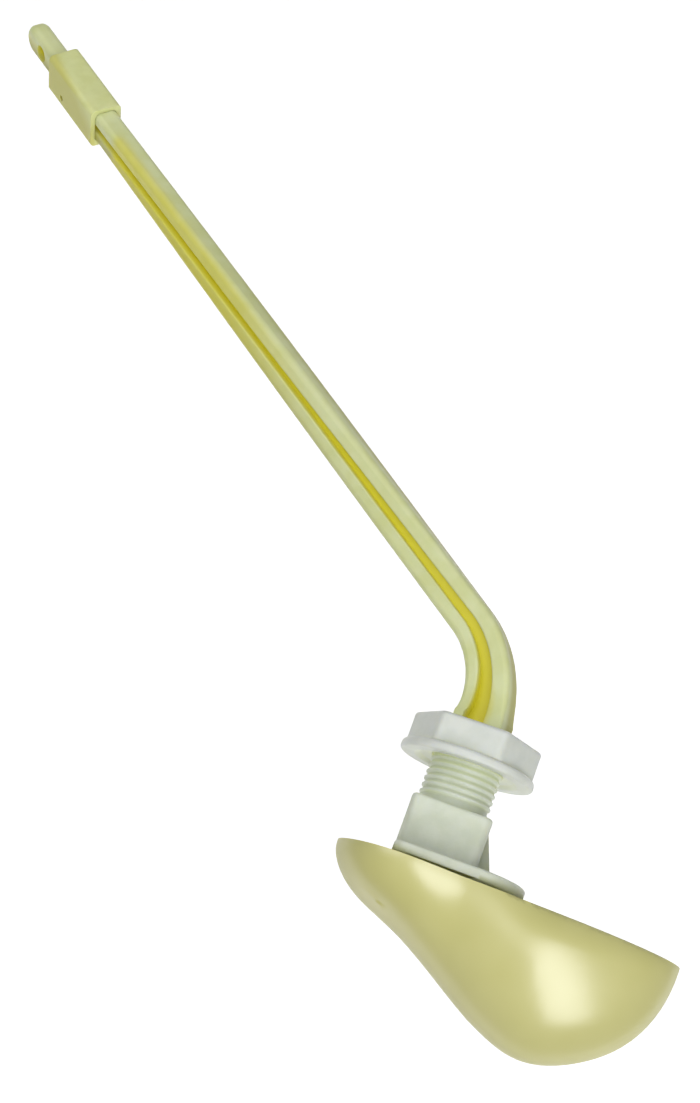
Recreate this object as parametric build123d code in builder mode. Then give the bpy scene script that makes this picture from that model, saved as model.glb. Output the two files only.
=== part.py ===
from build123d import *
import math
import os

os.makedirs("parts", exist_ok=True)

# A trip lever for a cistern, modelled as it is fixed in the tank wall.
# The wall is the XZ plane, the spindle lies along Y and Z is up.
# The origin is on the spindle, where the bushing's flange meets the wall.
# The handle is in front at minus Y with its paddle towards plus X.
# The arm is behind the wall, reaching towards minus X and dropping a little.

# bushing
tank_hole = 19.0            # square hole the bushing goes through
block_clear = 0.9           # how much smaller the square block is
block_size = tank_hole - block_clear
block_long = 11.4
block_corner = 1.9
block_edge = 0.8
buttress_reach = 3.1        # how far the buttress stands out of the block
buttress_high = 9.2
buttress_wide = 10.0
flange_thick = 2.3
flange_reach = 20.5         # from the spindle to the flange's far end
flange_half = 14.6
flange_round = 11.0
thread_r = 8.0              # five eighths of an inch over the thread
thread_end = 29.5
bore_r = 5.5

# nut
nut_start = 20.7            # where the nut stands on the thread
nut_flange_r = 15.1
nut_flange_thick = 2.2
nut_flats = 25.5
nut_long = 8.8
nut_corner = 2.2
nut_turn = 53.0             # how the hexagon is turned about the spindle
nut_clear = 0.05

# spindle and arm
spindle_clear = 0.07
end_play = 0.3
spindle_r = bore_r - spindle_clear
collar_r = 6.3
collar_long = 1.0
arm_drop = 26.0             # slope of the arm's plane below level
arm_bend = 54.5             # how far the arm turns away from the spindle
bend_start = 32.6
bend_r = 25.5
arm_run = 179.7             # straight part up to the chain clip
arm_twist = 57.0            # how far the section turns along that part
root_width = 12.0
mid_width = 9.3
tip_width = 8.8
root_thick = 7.2
mid_thick = 5.6
tip_thick = 5.9
web_thick = 1.8             # what is left between the two grooves
root_groove = 5.0           # the grooves are wide at the root and narrow along the arm
bend_groove = 2.2
mid_groove = 1.6
tip_groove = 2.2
root_offset = 0.9           # at the root they lie nearer the inside of the bend
root_round = 0.7            # the section's corners are sharper at the root
lobe_round = 1.5
lip_round = 0.4

# chain clip and the tongue it leaves showing
clip_long = 24.3
clip_wall = 1.3
clip_clear = 0.06
clip_corner = 1.5
latch_r = 0.75
latch_back = 7.4            # from the clip's far end to the latch hole
latch_side = 2.6
tongue_long = 17.2
tongue_width = 8.2
tongue_thick = 5.4
tongue_round = 2.0
eye_r = 2.3
eye_place = 8.0             # from the clip's end to the eye

# handle
boss_back = 20.8            # from the spindle to the boss's end
paddle_reach = 56.7         # from the spindle to the paddle's end
rim_gap = 0.5               # between the flange and the handle's rim
rim_lean = 0.8              # the rim leans away from the wall, degrees
boss_depth = 16.2
paddle_depth = 31.6
swell_start = -8.0          # where the handle starts to deepen towards the paddle
swell_long = 44.0
boss_half = 24.6
paddle_half = 17.0
waist_start = -12.0         # where it starts to narrow
waist_long = 40.0
paddle_bulge = 6.5          # how far the paddle's widest line lies in front of its rim
bulge_start = 2.0
bulge_long = 26.0
back_depth = 14.0           # how slowly it draws in towards the rim
hollow_back = 22.4          # the hollow draws in less, so that its core comes out
handle_wall = 2.2
hub_r = 8.6
tang_size = 7.4
tang_long = 8.6
tang_clear = 0.04
peg_x = 14.6                # stop peg on the flange
peg_r = 2.2
peg_long = 5.0
stop_clear = 0.12
press_angle = 32.0          # how far the handle turns
rib_thick = 1.8
rib_long = 22.0
hub_foot = 4.0              # how far the hub's end reaches into the handle


def ease(v):
    v = min(max(v, 0.0), 1.0)
    return v * v * (3 - 2 * v)


def rim_y(x):
    return -flange_thick - rim_gap - math.tan(math.radians(rim_lean)) * (x + boss_back)


# The handle is an egg in plan that deepens from the boss to the paddle.
# The paddle is widest a little in front of its rim and draws in towards the rim.
# The form is lofted closed through ovals and cut open at the rim.
handle_mid = (paddle_reach - boss_back) / 2
handle_span = (paddle_reach + boss_back) / 2
handle_steps = 14


def handle_form(wall):
    # wall is nothing for the outside, and the wall's thickness for the hollow
    slices = []
    span = handle_span - wall
    for i in range(1, handle_steps):
        turn = -math.cos(math.pi * i / handle_steps)
        x = handle_mid + span * turn
        power = 2.0 if turn < 0 else 2.3
        round_off = (1 - abs(turn) ** power) ** (1 / power)
        half = boss_half + (paddle_half - boss_half) * ease((x - waist_start) / waist_long)
        deep = boss_depth + (paddle_depth - boss_depth) * ease((x - swell_start) / swell_long)
        bulge = paddle_bulge * ease((x - bulge_start) / bulge_long)
        back = back_depth
        if wall:
            half = half * math.sqrt(1 - (bulge / back_depth) ** 2) - wall
            back = hollow_back
        front = deep - bulge - wall
        centre = (x, rim_y(x) - bulge * round_off, 0)
        with BuildSketch(Plane(origin=centre, x_dir=(0, 0, 1), z_dir=(1, 0, 0))) as cut:
            with BuildLine():
                EllipticalCenterArc((0, 0), half * round_off, front * round_off, start_angle=0, arc_size=180)
                EllipticalCenterArc((0, 0), half * round_off, back * round_off, start_angle=180, arc_size=180)
            make_face()
        slices.append(cut.sketch)
    low = handle_mid - span
    high = handle_mid + span
    return [Vertex(low, rim_y(low), 0)] + slices + [Vertex(high, rim_y(high), 0)]


def across(y):
    # a plane square to the spindle, drawn on as seen from inside the tank
    return Plane(origin=(0, y, 0), x_dir=(1, 0, 0), z_dir=(0, 1, 0))


hub_face = -flange_thick - end_play / 2
lean = math.radians(rim_lean)
rim = Plane(origin=(0, rim_y(0), 0), x_dir=(0, 0, 1), z_dir=(math.sin(lean), math.cos(lean), 0))

with BuildPart() as shell:
    loft(handle_form(0))

# The hollow leaves the hub and the two stop ribs standing.
# One rib lies under the peg at rest, the other comes down on it when the paddle is pressed.
rib_gap = peg_r + stop_clear + rib_thick / 2

with BuildPart() as hollow:
    loft(handle_form(handle_wall))
    with BuildSketch(across(30)):
        Circle(hub_r)
    extrude(amount=-90, mode=Mode.SUBTRACT)
    for turn, side in ((0, 1), (-press_angle, -1)):
        with BuildSketch(across(30)):
            with Locations(Rotation(0, 0, turn)):
                with Locations((peg_x, side * rib_gap)):
                    Rectangle(rib_long, rib_thick)
        extrude(amount=-90, mode=Mode.SUBTRACT)

with BuildPart() as handle:
    add(shell.part)
    add(hollow.part, mode=Mode.SUBTRACT)
    with BuildSketch(rim):
        Rectangle(120, 160)
    extrude(amount=60, mode=Mode.SUBTRACT)
    with BuildSketch(across(hub_face)):
        Circle(hub_r)
    extrude(amount=-hub_foot)
    with BuildSketch(across(hub_face)):
        Rectangle(tang_size + 2 * tang_clear, tang_size + 2 * tang_clear)
    extrude(amount=-tang_long - end_play, mode=Mode.SUBTRACT)

handle.part.label = "handle"
export_step(handle.part, "parts/handle.step")

# bushing: flange, square block, threaded barrel and the bore the spindle turns in
with BuildPart() as bushing:
    with BuildSketch(across(-flange_thick)):
        with BuildLine():
            edge = -block_size / 2 - 0.2
            Polyline((edge, -flange_half), (flange_reach, -flange_half),
                     (flange_reach, flange_half), (edge, flange_half), close=True)
        make_face()
        fillet(vertices().group_by(Axis.X)[-1], flange_round)
        fillet(vertices().group_by(Axis.X)[0], 3)
    extrude(amount=flange_thick)
    fillet(edges().group_by(Axis.Y)[-1], 0.7)
    with BuildSketch(across(-0.5)):
        RectangleRounded(block_size, block_size, block_corner)
    extrude(amount=block_long + 0.5)
    fillet(edges().group_by(Axis.Y)[-1], block_edge)
    # the buttress that stiffens the flange's long side
    with BuildSketch(Plane.XY):
        with BuildLine():
            face = block_size / 2
            Polyline((face - 1, -0.5), (face + buttress_reach, -0.5), (face + buttress_reach, 0.4),
                     (face - 0.2, buttress_high), (face - 1, buttress_high), close=True)
        make_face()
    extrude(amount=buttress_wide / 2, both=True)
    with BuildSketch(across(block_long - 1)):
        Circle(thread_r)
    extrude(amount=thread_end - block_long + 1)
    chamfer(edges().group_by(Axis.Y)[-1], 0.7)
    with BuildSketch(across(-flange_thick)):
        with Locations((peg_x, 0)):
            Circle(peg_r)
    extrude(amount=-peg_long)
    fillet(edges().group_by(Axis.Y)[0], 0.4)
    with BuildSketch(across(-flange_thick - 1)):
        Circle(bore_r)
    extrude(amount=thread_end + flange_thick + 2, mode=Mode.SUBTRACT)

bushing.part.label = "bushing"
export_step(bushing.part, "parts/bushing.step")

# nut: hexagon on a round flange with a dished underside
with BuildPart() as nut:
    with BuildSketch(across(nut_start)):
        Circle(nut_flange_r)
    extrude(amount=nut_flange_thick)
    fillet(edges().group_by(Axis.Y)[-1], 1.0)
    fillet(edges().group_by(Axis.Y)[0], 0.6)
    with BuildSketch(across(nut_start + 0.5)):
        RegularPolygon(nut_flats / 2, 6, major_radius=False, rotation=nut_turn)
        fillet(vertices(), nut_corner)
    extrude(amount=nut_long - 0.5)
    fillet(edges().group_by(Axis.Y)[-1], 0.9)
    with BuildSketch(Plane.XY):
        with BuildLine():
            Polyline((thread_r, nut_start), (11.8, nut_start), (10.6, nut_start + 0.7),
                     (thread_r, nut_start + 1.0), close=True)
        make_face()
    revolve(axis=Axis.Y, mode=Mode.SUBTRACT)
    with BuildSketch(across(nut_start - 1)):
        Circle(thread_r + nut_clear)
    extrude(amount=nut_long + 2, mode=Mode.SUBTRACT)

nut.part.label = "nut"
export_step(nut.part, "parts/nut.step")

# The arm leaves the spindle on an arc and then runs straight.
# Its section is two rounded lobes with a groove on both faces between them.
drop = math.radians(arm_drop)
bend = math.radians(arm_bend)
level = Vector(0, 1, 0)
outward = Vector(-math.cos(drop), 0, -math.sin(drop))
upward = Vector(-math.sin(drop), 0, math.cos(drop))
arm_heading = level * math.cos(bend) + outward * math.sin(bend)
arm_corner = (level * (bend_start + bend_r * math.sin(bend))
              + outward * (bend_r * (1 - math.cos(bend))))


def arm_plane(point, heading, twist):
    side = upward.cross(heading)
    face = upward * math.cos(twist) + side * math.sin(twist)
    return Plane(origin=point, x_dir=face.cross(heading), z_dir=heading)


def bend_plane(turn):
    point = level * (bend_start + bend_r * math.sin(turn)) + outward * (bend_r * (1 - math.cos(turn)))
    return arm_plane(point, level * math.cos(turn) + outward * math.sin(turn), 0)


def run_plane(along):
    twist = math.radians(arm_twist) * min(along / arm_run, 1)
    return arm_plane(arm_corner + arm_heading * along, arm_heading, twist)


def lobed(where, width, thick, groove, offset=0.0, corner=lobe_round):
    with BuildSketch(where) as cut:
        w, t, s = width / 2, thick / 2, web_thick / 2
        low, high = offset - groove / 2, offset + groove / 2
        with BuildLine():
            Polyline((high, s), (low, s), (low, t), (-w, t), (-w, -t), (low, -t),
                     (low, -s), (high, -s), (high, -t), (w, -t), (w, t), (high, t), close=True)
        make_face()
        fillet(vertices().filter_by(lambda v: abs(abs(v.X) - w) < 0.01), corner)
        fillet(vertices().filter_by(lambda v: abs(abs(v.X - offset) - groove / 2) < 0.01
                                    and abs(abs(v.Y) - t) < 0.01), lip_round)
    return cut.sketch


def between(low, high, part):
    return low + (high - low) * part


bend_steps = 8
bend_slices = []
for i in range(bend_steps + 1):
    part = (i / bend_steps) ** 0.5
    bend_slices.append(lobed(bend_plane(bend * i / bend_steps),
                             between(root_width, mid_width, part),
                             between(root_thick, mid_thick, part),
                             between(root_groove, bend_groove, part),
                             between(root_offset, 0, part),
                             between(root_round, lobe_round, part)))
run_steps = 6
run_slices = []
for i in range(run_steps + 1):
    part = i / run_steps
    if part < 0.5:
        groove = between(bend_groove, mid_groove, 2 * part)
    else:
        groove = between(mid_groove, tip_groove, 2 * part - 1)
    run_slices.append(lobed(run_plane(arm_run * part), between(mid_width, tip_width, part),
                            between(mid_thick, tip_thick, part), groove))
collar_start = thread_end + end_play / 2
clip_start = run_plane(arm_run)
clip_end = run_plane(arm_run + clip_long)
tongue_face = Plane(origin=clip_end.origin, x_dir=arm_heading, z_dir=clip_end.y_dir)

with BuildPart() as bent:
    loft(bend_slices)

with BuildPart() as straight:
    loft(run_slices)

with BuildPart() as arm:
    # square tang, spindle and the collar behind the bushing
    with BuildSketch(across(hub_face - tang_long)):
        Rectangle(tang_size, tang_size)
    extrude(amount=tang_long)
    chamfer(edges().group_by(Axis.Y)[0], 0.8)
    with BuildSketch(across(hub_face)):
        Circle(spindle_r)
    extrude(amount=collar_start - hub_face)
    with BuildSketch(across(collar_start)):
        Circle(collar_r)
    extrude(amount=collar_long)
    fillet(edges().group_by(Axis.Y)[-1], 0.3)
    # the root of the arm grows out of the collar
    extrude(lobed(bend_plane(0), root_width, root_thick, root_groove, root_offset, root_round),
            amount=collar_start + collar_long / 2 - bend_start)
    add(bent.part)
    add(straight.part)
    # plain stem inside the chain clip, then the tongue with its eye
    extrude(lobed(clip_start, tip_width, tip_thick, tip_groove), amount=clip_long - 1.5)
    with BuildSketch(clip_end):
        RectangleRounded(tongue_width, tongue_thick, 1.6)
    extrude(amount=-2.5)
    with BuildSketch(tongue_face):
        with Locations((tongue_long / 2 - tongue_width / 4, 0)):
            Rectangle(tongue_long - tongue_width / 2, tongue_width)
        with Locations((tongue_long - tongue_width / 2, 0)):
            Circle(tongue_width / 2)
    extrude(amount=tongue_thick / 2, both=True)
    fillet(edges().group_by(Axis(clip_end.origin, arm_heading))[-1], tongue_round)
    with BuildSketch(tongue_face):
        with Locations((eye_place, 0)):
            Circle(eye_r)
    extrude(amount=tongue_thick, both=True, mode=Mode.SUBTRACT)

arm.part.label = "arm"
export_step(arm.part, "parts/arm.step")

# chain clip: a sleeve pushed over the end of the arm, with a small latch window
with BuildPart() as chain_clip:
    inner_wide = tip_width + 2 * clip_clear
    inner_thick = tip_thick + 2 * clip_clear
    with BuildSketch(clip_start):
        RectangleRounded(inner_wide + 2 * clip_wall, inner_thick + 2 * clip_wall, clip_corner)
    extrude(amount=clip_long)
    with BuildSketch(clip_start.offset(-1)):
        RectangleRounded(inner_wide, inner_thick, lobe_round)
    extrude(amount=clip_long + 2, mode=Mode.SUBTRACT)
    with BuildSketch(tongue_face):
        with Locations((-latch_back, latch_side)):
            Circle(latch_r)
    extrude(amount=6, mode=Mode.SUBTRACT)

chain_clip.part.label = "chain_clip"
export_step(chain_clip.part, "parts/chain_clip.step")

for piece in (handle, bushing, nut, arm, chain_clip):
    box = piece.part.bounding_box()
    print(piece.part.label, len(piece.part.solids()), round(piece.part.volume), box.min, box.max)
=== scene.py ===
import math

import bmesh
import bpy
from mathutils import Matrix, Vector


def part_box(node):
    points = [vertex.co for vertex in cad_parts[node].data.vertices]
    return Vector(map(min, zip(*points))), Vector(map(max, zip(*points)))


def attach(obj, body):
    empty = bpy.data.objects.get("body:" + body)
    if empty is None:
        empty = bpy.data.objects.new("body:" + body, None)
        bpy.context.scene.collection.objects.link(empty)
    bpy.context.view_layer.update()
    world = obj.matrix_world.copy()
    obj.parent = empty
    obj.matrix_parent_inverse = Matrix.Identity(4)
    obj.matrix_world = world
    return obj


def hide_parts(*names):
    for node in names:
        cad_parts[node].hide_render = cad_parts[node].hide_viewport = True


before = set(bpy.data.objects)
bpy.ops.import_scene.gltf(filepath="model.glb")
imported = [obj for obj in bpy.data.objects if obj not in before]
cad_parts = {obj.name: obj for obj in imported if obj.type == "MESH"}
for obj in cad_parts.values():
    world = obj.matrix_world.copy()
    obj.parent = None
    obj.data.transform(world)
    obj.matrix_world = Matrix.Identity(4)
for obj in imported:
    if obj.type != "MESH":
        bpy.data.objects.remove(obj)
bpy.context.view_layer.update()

# Bushing: a natural, slightly greenish white nylon moulding with a flange, a square block and
# a barrel. It goes through the cistern's wall from the front and carries everything else.
# Its thread is cut here: one ridge wound round the barrel, which is turned down to the root.
barrel_r = 0.008
thread_root = 0.00752
thread_crest = 0.00796
thread_pitch = 0.0015
thread_start = 0.0119
thread_runout = 0.0012
thread_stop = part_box("bushing")[1][1] - thread_runout
tooth_base = 0.00135
tooth_crest = 0.00035
tooth_sunk = 0.0001
tooth_foot = thread_root - tooth_sunk
fades_per_turn = 3
facets_per_turn = 56
barrel_slack = 0.0001
same_point = 0.000001
crease_degrees = 35.0


class Shade:
    """One number or colour that runs through a material, with sums written as sums."""

    def __init__(self, tree, socket=None):
        self.tree = tree
        self.socket = socket

    def node(self, kind, settings=None, inputs=None, out=0):
        made = self.tree.nodes.new(kind)
        for name, value in (settings or {}).items():
            setattr(made, name, value)
        for name, value in (inputs or {}).items():
            if isinstance(value, Shade):
                self.tree.links.new(value.socket, made.inputs[name])
            else:
                made.inputs[name].default_value = value
        return Shade(self.tree, made.outputs[out])

    def sum(self, operation, first, second):
        return self.node("ShaderNodeMath", {"operation": operation}, {0: first, 1: second})

    def __add__(self, other):
        return self.sum("ADD", self, other)

    __radd__ = __add__

    def __sub__(self, other):
        return self.sum("SUBTRACT", self, other)

    def __rsub__(self, other):
        return self.sum("SUBTRACT", other, self)

    def __mul__(self, other):
        return self.sum("MULTIPLY", self, other)

    __rmul__ = __mul__

    def __pow__(self, other):
        return self.sum("POWER", self, other)

    def __gt__(self, other):
        return self.sum("GREATER_THAN", self, other)

    def along(self, direction):
        return self.node("ShaderNodeVectorMath", {"operation": "DOT_PRODUCT"},
                         {0: self, 1: direction}, out=1)

    def between(self, low, high):
        return self.node("ShaderNodeMapRange", {"interpolation_type": "SMOOTHSTEP"},
                         {"Value": self, "From Min": low, "From Max": high})

    def tint(self, low, high):
        ends = {6: low if isinstance(low, Shade) else (*low, 1.0),
                7: high if isinstance(high, Shade) else (*high, 1.0)}
        return self.node("ShaderNodeMix", {"data_type": "RGBA"}, {0: self, **ends}, out=2)

    def noise(self, scale, detail=2.0):
        return self.node("ShaderNodeTexNoise", inputs={"Vector": self, "Scale": scale, "Detail": detail})


def linear(red, green, blue):
    return tuple((c / 255 / 12.92 if c <= 10 else ((c / 255 + 0.055) / 1.055) ** 2.4)
                 for c in (red, green, blue))


def moulded(name, glow=0.0, glow_depth=0.003, shine=0.5, coat_bend=1.5):
    finish = bpy.data.materials.new(name)
    finish.use_nodes = True
    tree = finish.node_tree
    body = tree.nodes["Principled BSDF"]
    body.inputs["Specular IOR Level"].default_value = shine
    body.inputs["Emission Color"].default_value = (0, 0, 0, 1)
    body.inputs["Emission Strength"].default_value = 1.0
    body.inputs["Coat Roughness"].default_value = 0.29
    body.inputs["Coat IOR"].default_value = coat_bend
    body.inputs["Subsurface Weight"].default_value = glow
    body.inputs["Subsurface Radius"].default_value = (1.0, 0.9, 0.55)
    body.inputs["Subsurface Scale"].default_value = glow_depth
    place = Shade(tree).node("ShaderNodeTexCoord", out=3)
    return finish, place


def finish_with(finish, **parts):
    tree = finish.node_tree
    for name, value in parts.items():
        tree.links.new(value.socket, tree.nodes["Principled BSDF"].inputs[name.replace("_", " ")])


def softened(place, radius, height, strength):
    round_edge = place.node("ShaderNodeBevel", {"samples": 6}, {"Radius": radius})
    return place.node("ShaderNodeBump", inputs={"Strength": strength, "Distance": 0.0002,
                                                "Height": height, "Normal": round_edge})


# Painted shade: how closed in a point is, read from ambient occlusion, used to darken recesses.
def occlusion_shade(place, reach):
    return 1 - place.node("ShaderNodeAmbientOcclusion", {"samples": 8}, {"Distance": reach}, out=1)


def keep_mesh(shape, name, finish):
    skin = bpy.data.meshes.new(name)
    shape.to_mesh(skin)
    shape.free()
    skin.materials.append(finish)
    skin.shade_smooth()
    skin.set_sharp_from_angle(angle=math.radians(crease_degrees))
    piece = bpy.data.objects.new(name, skin)
    bpy.context.scene.collection.objects.link(piece)
    return piece


def dress(node, finish):
    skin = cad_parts[node].data
    skin.materials.clear()
    skin.materials.append(finish)


nylon, place = moulded("natural white nylon", glow=0.4, glow_depth=0.004)
mottle = place.noise(240.0, 3.0)
grain = place.noise(2600.0)
clear = mottle.between(0.3, 0.7).tint(linear(216, 223, 203), linear(225, 231, 214))
# Painted shade: recesses, read from ambient occlusion, are darkened to a yellow green in the base colour;
# in the thread's recesses the same mask makes a painted glow in the emission.
recess_shade_and_glow = occlusion_shade(place, 0.008).between(0.1, 1.0)
in_thread = place.along((0, 1, 0)).between(thread_start - 2 * thread_pitch, thread_start)
finish_with(nylon,
            Base_Color=recess_shade_and_glow.tint(clear, linear(190, 196, 150)),
            Emission_Color=(recess_shade_and_glow * in_thread).tint((0.0, 0.0, 0.0), (0.16, 0.175, 0.125)),
            Roughness=0.34 + mottle * 0.12,
            Normal=softened(place, 0.0004, grain, 0.08))

tooth = bmesh.new()
section = [(tooth_foot, 0), (tooth_foot, tooth_base),
           (thread_crest, (tooth_base + tooth_crest) / 2), (thread_crest, (tooth_base - tooth_crest) / 2)]
corners = [tooth.verts.new((reach, thread_start + rise, 0)) for reach, rise in section]
cap = tooth.faces.new(corners)
turns = (thread_stop - thread_start - tooth_base) / thread_pitch
facets = round(turns * facets_per_turn)
bmesh.ops.spin(tooth, geom=[*corners, *cap.edges, cap], cent=(0, 0, 0), axis=(0, 1, 0),
               dvec=(0, thread_pitch / facets_per_turn, 0), angle=math.tau * facets / facets_per_turn,
               steps=facets, use_merge=False)
for vert in tooth.verts:
    # the ridge fades in and out over a third of a turn at each end
    reach = math.hypot(vert.co.x, vert.co.z)
    if reach > thread_root + tooth_sunk:
        turn = (vert.co.y - thread_start - tooth_base / 2) / thread_pitch
        fade = min(1.0, max(0.0, fades_per_turn * min(turn, turns - turn)))
        kept = (tooth_foot + (thread_crest - thread_root + tooth_sunk) * fade) / reach
        vert.co.x *= kept
        vert.co.z *= kept
bmesh.ops.recalc_face_normals(tooth, faces=tooth.faces)
ridge = bpy.data.meshes.new("ridge")
tooth.to_mesh(ridge)
tooth.free()

shank = bmesh.new()
shank.from_mesh(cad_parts["bushing"].data)
bmesh.ops.remove_doubles(shank, verts=shank.verts, dist=same_point)
for vert in shank.verts:
    reach = math.hypot(vert.co.x, vert.co.z)
    if vert.co.y > thread_start - thread_pitch and thread_root < reach < barrel_r + barrel_slack:
        vert.co.x *= thread_root / reach
        vert.co.z *= thread_root / reach
shank.from_mesh(ridge)
bushing = keep_mesh(shank, "bushing_with_thread", nylon)
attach(bushing, "bushing")
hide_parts("bushing")

# Nut: the same nylon, a shade whiter, moulded as a hexagon on a round flange.
# It runs on the bushing's thread and clamps the cistern's wall from inside.
nut_nylon, place = moulded("white nut nylon", glow=0.4, glow_depth=0.004)
mottle = place.noise(200.0, 3.0)
grain = place.noise(2400.0)
clear = mottle.between(0.3, 0.7).tint(linear(218, 223, 215), linear(227, 231, 224))
# Painted shade: recesses, read from ambient occlusion, are darkened to a yellow green in the base colour,
# and the same mask makes a painted glow in the emission there.
recess_shade_and_glow = occlusion_shade(place, 0.009).between(0.15, 1.0)
finish_with(nut_nylon,
            Base_Color=recess_shade_and_glow.tint(clear, linear(214, 216, 172)),
            Emission_Color=recess_shade_and_glow.tint((0.0, 0.0, 0.0), (0.17, 0.175, 0.11)),
            Roughness=0.3 + mottle * 0.12,
            Normal=softened(place, 0.0006, grain, 0.07))
dress("nut", nut_nylon)

# Handle: a hollow moulding sprayed in satin pearl champagne, clearer over the top coat.
# It is pushed on to the square at the spindle's end, in front of the flange. Its sides draw in
# behind the boss and swell again at the paddle; its hub, socket and ribs stay as they are.
boss_half = 0.0246
solid_half = 0.017
solid_start = -0.012
solid_long = 0.04
waist_half = 0.0171
waist_start = -0.0155
waist_long = 0.0248
paddle_half = 0.0184
flare_long = 0.022
coat_thin = 0.002
coat_full = 0.012
core_half = 0.009
core_deep = 0.012
core_end = 0.027
hub_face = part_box("handle")[1][1]


def eased(x, start, length):
    part = min(1.0, max(0.0, (x - start) / length))
    return part * part * (3 - 2 * part)


casing = bmesh.new()
casing.from_mesh(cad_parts["handle"].data)
bmesh.ops.remove_doubles(casing, verts=casing.verts, dist=same_point)
for vert in casing.verts:
    x, y, z = vert.co
    if abs(z) > core_half or y < hub_face - core_deep or x > core_end:
        solid = boss_half + (solid_half - boss_half) * eased(x, solid_start, solid_long)
        drawn = boss_half + (waist_half - boss_half) * eased(x, waist_start, waist_long)
        drawn += (paddle_half - waist_half) * eased(x, waist_start + waist_long, flare_long)
        vert.co.z *= drawn / solid

pearl, place = moulded("satin pearl champagne", shine=0.2, coat_bend=1.95)
drift = place.noise(55.0)
fleck = place.noise(2200.0, 1.0)
off_middle = (place.along((0, 0, 1)) ** 2) ** 0.5
finish_with(pearl,
            Base_Color=drift.between(0.3, 0.7).tint(linear(209, 205, 128), linear(215, 211, 139)),
            Coat_Weight=0.3 + 0.7 * off_middle.between(coat_thin, coat_full),
            Roughness=0.42 + fleck * 0.1,
            Normal=place.node("ShaderNodeBump", inputs={"Strength": 0.03, "Distance": 0.0001,
                                                    "Height": fleck}))
handle = keep_mesh(casing, "handle_moulding", pearl)
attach(handle, "lever")
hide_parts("handle")

# Arm: one pale yellow green moulding, spindle and arm together. Its H section lets light gather in the
# grooves, which look a strong yellow, so their colour follows the centre line: that yellow in the base
# colour and the emission is painted glow.
arm_drop = math.radians(26.0)
arm_bend = math.radians(54.5)
bend_start = 0.0326
bend_r = 0.0255
groove_floor = 0.0013
groove_lip = 0.0033
root_spread = 0.0018
root_long = 0.014
low_edge = -0.0032
low_full = -0.0008
low_start = 0.06
low_whole = 0.12
low_strength = 0.65
clip_start = 0.168
clip_fade = 0.004
flank_low = -0.0004
flank_high = 0.0026
acetal, place = moulded("pale yellow green acetal", glow=0.3, shine=0.25)
out_of_wall = place.along((0, 1, 0))
outward = place.along((-math.cos(arm_drop), 0, -math.sin(arm_drop)))
upward = place.along((-math.sin(arm_drop), 0, math.cos(arm_drop)))
past_root = out_of_wall - bend_start
from_middle = bend_r - ((past_root ** 2 + (outward - bend_r) ** 2) ** 0.5)
past_bend = past_root - bend_r * math.sin(arm_bend)
beyond = outward - bend_r * (1 - math.cos(arm_bend))
on_run = past_bend * math.cos(arm_bend) + beyond * math.sin(arm_bend)
beside_run = beyond * math.cos(arm_bend) - past_bend * math.sin(arm_bend)
is_run = on_run > 0.0
is_root = 0.0 - past_root > 0.0
aside = from_middle + is_run * (beside_run - from_middle) + is_root * (outward - from_middle)
from_centre = (aside ** 2 + upward ** 2) ** 0.5
spread = root_spread * (1 - past_root.between(0.0, root_long))
middle = 1 - (from_centre - spread).between(groove_floor, groove_lip)
# Painted glow: the grooves' yellow spreads over the lower half of the run and fades out at the clip.
low_half_glow = aside.between(low_edge, low_full) * on_run.between(low_start, low_whole)
low_half_glow = low_half_glow * (1 - on_run.between(clip_start, clip_start + clip_fade))
groove_glow = middle + low_strength * low_half_glow * (1 - middle)
mottle = place.noise(160.0, 3.0)
lobe = mottle.between(0.3, 0.7).tint(linear(220, 226, 164), linear(228, 234, 182))
# Painted shade: the lower side of the arm is darkened to olive.
lower_side_shade = 1 - upward.between(flank_low, flank_high)
lobe_with_side_shade = lower_side_shade.tint(lobe, linear(190, 188, 102))
finish_with(acetal,
            Base_Color=groove_glow.tint(lobe_with_side_shade, linear(206, 199, 56)),
            Emission_Color=groove_glow.tint((0.0, 0.0, 0.0), (0.09, 0.08, 0.003)),
            Roughness=0.26 + mottle * 0.12,
            Normal=place.node("ShaderNodeBump", inputs={"Strength": 0.04, "Distance": 0.0001,
                                                    "Height": place.noise(700.0)}))
dress("arm", acetal)

# Chain clip: a pale cream sleeve pushed over the end of the arm until its latch snaps in.
# It is moulded in the same material as the arm, unpolished.
shade_start = 0.001
shade_full = 0.0035
clip_cream, place = moulded("pale cream acetal", glow=0.3, shine=0.25)
mottle = place.noise(240.0, 3.0)
grain = place.noise(700.0)
clear = mottle.between(0.3, 0.7).tint(linear(226, 231, 160), linear(234, 239, 174))
low_side = Vector((-0.73, -0.68, 0.0))
clip_middle = (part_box("chain_clip")[0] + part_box("chain_clip")[1]) / 2
shaded = (place.along(low_side) - clip_middle.dot(low_side)).between(shade_start, shade_full)
# Painted shade: the low side is darkened to a deeper cream, and recesses, read from ambient occlusion, to
# a dark yellow.
finish_with(clip_cream,
            Base_Color=occlusion_shade(place, 0.005).between(0.2, 0.9).tint(
                shaded.tint(clear, linear(214, 212, 124)), linear(186, 178, 70)),
            Roughness=0.36 + mottle * 0.12,
            Normal=softened(place, 0.0004, grain, 0.03))
dress("chain_clip", clip_cream)
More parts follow.
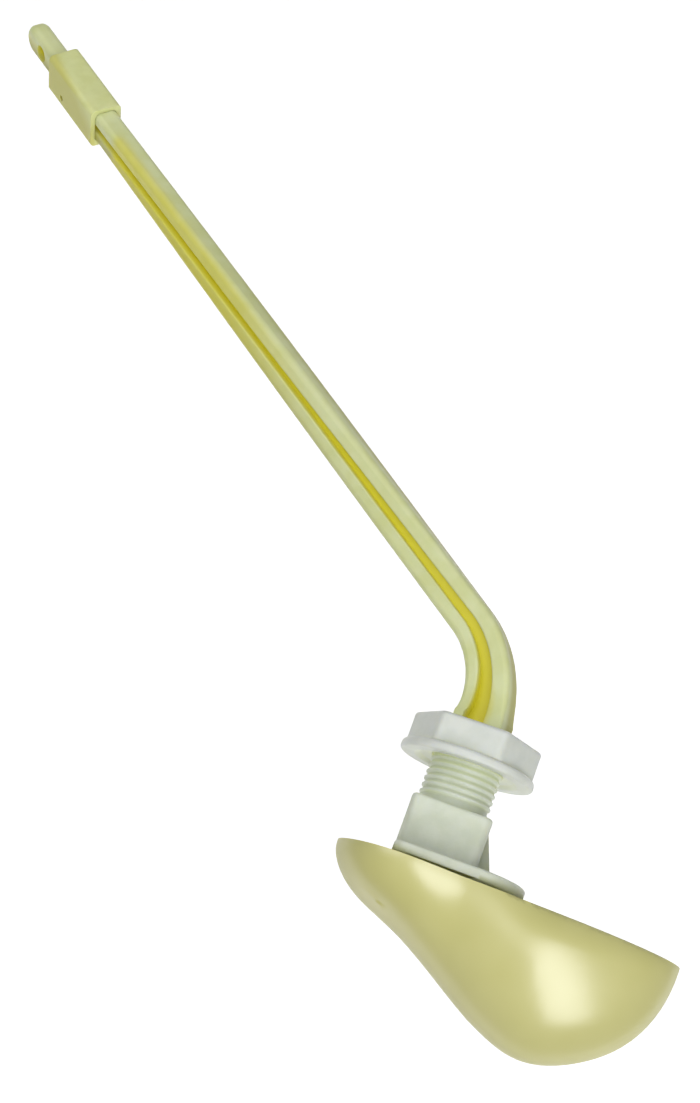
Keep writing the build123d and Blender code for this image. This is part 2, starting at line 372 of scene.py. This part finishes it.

# Backdrop: a white floor well under the lever, so that no shadow of it shows. Its colour is a painted
# pool of light with a painted glow: bright near the lever, falling off to grey away from it, as paper
# does at the edge of the lamps' light.
floor_size = 4.0
floor_height = -0.35
lit_reach = 0.42
dark_reach = 1.0
bpy.ops.mesh.primitive_plane_add(size=floor_size, location=(0, 0, floor_height))
floor = bpy.context.object
floor.name = "floor"
paper, place = moulded("white floor with painted glow", shine=0.0)
from_lever = (place.along((1, 0, 0)) ** 2 + place.along((0, 1, 0)) ** 2) ** 0.5
unlit = from_lever.between(lit_reach, dark_reach)
finish_with(paper,
            Base_Color=unlit.tint((0.95, 0.95, 0.95), (0.4, 0.4, 0.4)),
            Emission_Color=unlit.tint((0.38, 0.38, 0.38), (0.0, 0.0, 0.0)))
paper.node_tree.nodes["Principled BSDF"].inputs["Roughness"].default_value = 0.9
floor.data.materials.append(paper)

# Light: a pale room, a long soft box over the paddle's side, which makes the highlights on
# the boss and the paddle, and a wide weak one behind the wall's side.
lamp_distance = 1.7
bpy.context.scene.view_settings.view_transform = "Standard"
world = bpy.data.worlds.new("pale room")
bpy.context.scene.world = world
world.use_nodes = True
world.node_tree.nodes["Background"].inputs["Color"].default_value = (1, 1, 1, 1)
world.node_tree.nodes["Background"].inputs["Strength"].default_value = 0.21


def softbox(name, target, towards, length_along, width, length, power):
    lamp = bpy.data.lights.new(name, "AREA")
    lamp.shape = "RECTANGLE"
    lamp.size, lamp.size_y = width, length
    lamp.energy = power
    holder = bpy.data.objects.new(name, lamp)
    bpy.context.scene.collection.objects.link(holder)
    behind = Vector(towards).normalized()
    across = Vector(length_along).cross(behind).normalized()
    turned = Matrix((across, behind.cross(across), behind)).transposed().to_4x4()
    holder.matrix_world = Matrix.Translation(Vector(target) + lamp_distance * behind) @ turned


softbox("main softbox", (0.02, -0.015, 0.0), (0.35, -0.40, 0.847), (0.5, -0.85, 0.0), 0.86, 2.2, 23.0)
softbox("back softbox", (-0.02, 0.04, 0.0), (-0.58, 0.26, 0.77), (0.0, 1.0, 0.0), 1.4, 1.4, 9.5)

# Camera: above the lever and a little in front of the wall, rolled as the photograph is.
lens = bpy.data.cameras.new("camera")
lens.sensor_fit = "VERTICAL"
lens.sensor_height = 36.0
lens.lens = 84.34
lens.clip_start = 0.01
camera = bpy.data.objects.new("camera", lens)
bpy.context.scene.collection.objects.link(camera)
right = Vector((0.9396, 0.3412, 0.0269)).normalized()
back = Vector((0.0552, -0.2286, 0.9719)).normalized()
up = back.cross(right).normalized()
right = up.cross(back)
stand = Matrix((right, up, back)).transposed().to_4x4()
stand.translation = (-0.00861, -0.07219, 0.55201)
camera.matrix_world = stand
bpy.context.scene.camera = camera
